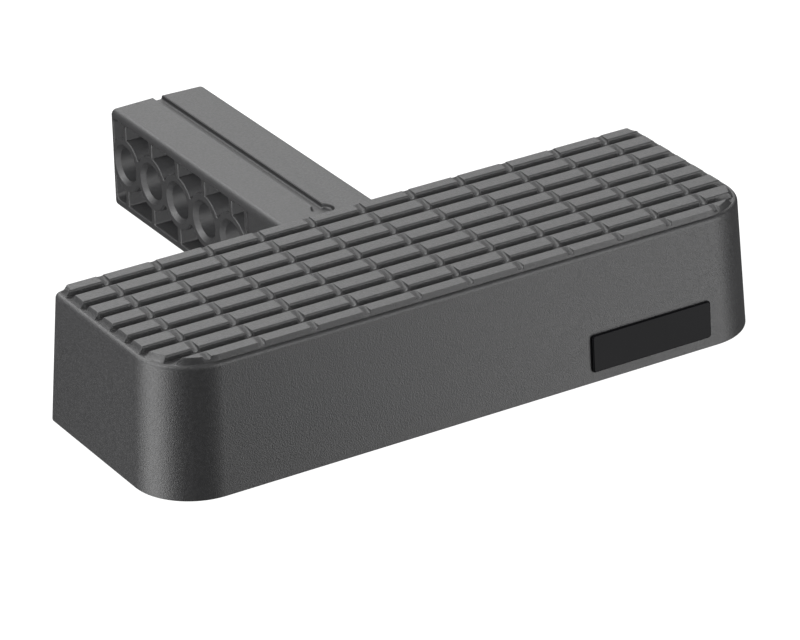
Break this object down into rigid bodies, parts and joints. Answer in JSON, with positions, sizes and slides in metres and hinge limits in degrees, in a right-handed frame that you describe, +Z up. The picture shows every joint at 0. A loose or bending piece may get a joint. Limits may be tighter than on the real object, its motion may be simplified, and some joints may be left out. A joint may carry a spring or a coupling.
{
  "type": "hitch step",
  "caption": "Hitch-mounted bumper step: a ribbed tread block on a square shank with a row of cross pin bores, for a receiver tube.",
  "frame": {"origin": "middle of the closing plate's underside, on the plane that the step stands on", "axes": "+X along the step, +Y along the shank towards the receiver, +Z up out of the tread"},
  "size_m": [0.3048, 0.2793, 0.063],
  "materials": {
    "cover_plastic": "charcoal moulded plastic, fine sand texture on the walls, smoother on the tread",
    "shank_plastic": "charcoal moulded plastic, smooth satin",
    "plate_plastic": "charcoal moulded plastic, fine sand texture",
    "core_plastic": "black moulded plastic, satin",
    "zinc_steel": "zinc plated",
    "screw_steel": "zinc plated, slightly dulled",
    "insert_brass": "machined and knurled",
    "badge_black": "black printed film without lettering",
    "badge_clear": "smooth poured dome, high gloss"
  },
  "bodies": {
    "root": {"step_cover": "cover_plastic", "hitch_shank": "shank_plastic", "closing_plate": "plate_plastic", "crush_core_left": "core_plastic", "crush_core_right": "core_plastic", "cross_bolt_1": "zinc_steel", "cross_bolt_2": "zinc_steel", "cross_bolt_3": "zinc_steel", "cross_bolt_4": "zinc_steel", "head_washer_1": "zinc_steel", "head_washer_2": "zinc_steel", "head_washer_3": "zinc_steel", "head_washer_4": "zinc_steel", "nut_washer_1": "zinc_steel", "nut_washer_2": "zinc_steel", "nut_washer_3": "zinc_steel", "nut_washer_4": "zinc_steel", "lock_nut_1": "zinc_steel", "lock_nut_2": "zinc_steel", "lock_nut_3": "zinc_steel", "lock_nut_4": "zinc_steel", "plate_screw_1": "screw_steel", "plate_screw_2": "screw_steel", "plate_screw_3": "screw_steel", "plate_screw_4": "screw_steel", "plate_screw_5": "screw_steel", "plate_screw_6": "screw_steel", "plate_screw_7": "screw_steel", "plate_screw_8": "screw_steel", "screw_insert_1": "insert_brass", "screw_insert_2": "insert_brass", "screw_insert_3": "insert_brass", "screw_insert_4": "insert_brass", "screw_insert_5": "insert_brass", "screw_insert_6": "insert_brass", "screw_insert_7": "insert_brass", "screw_insert_8": "insert_brass", "badge_label": "badge_black", "badge_dome": "badge_clear"}
  },
  "joints": []
}
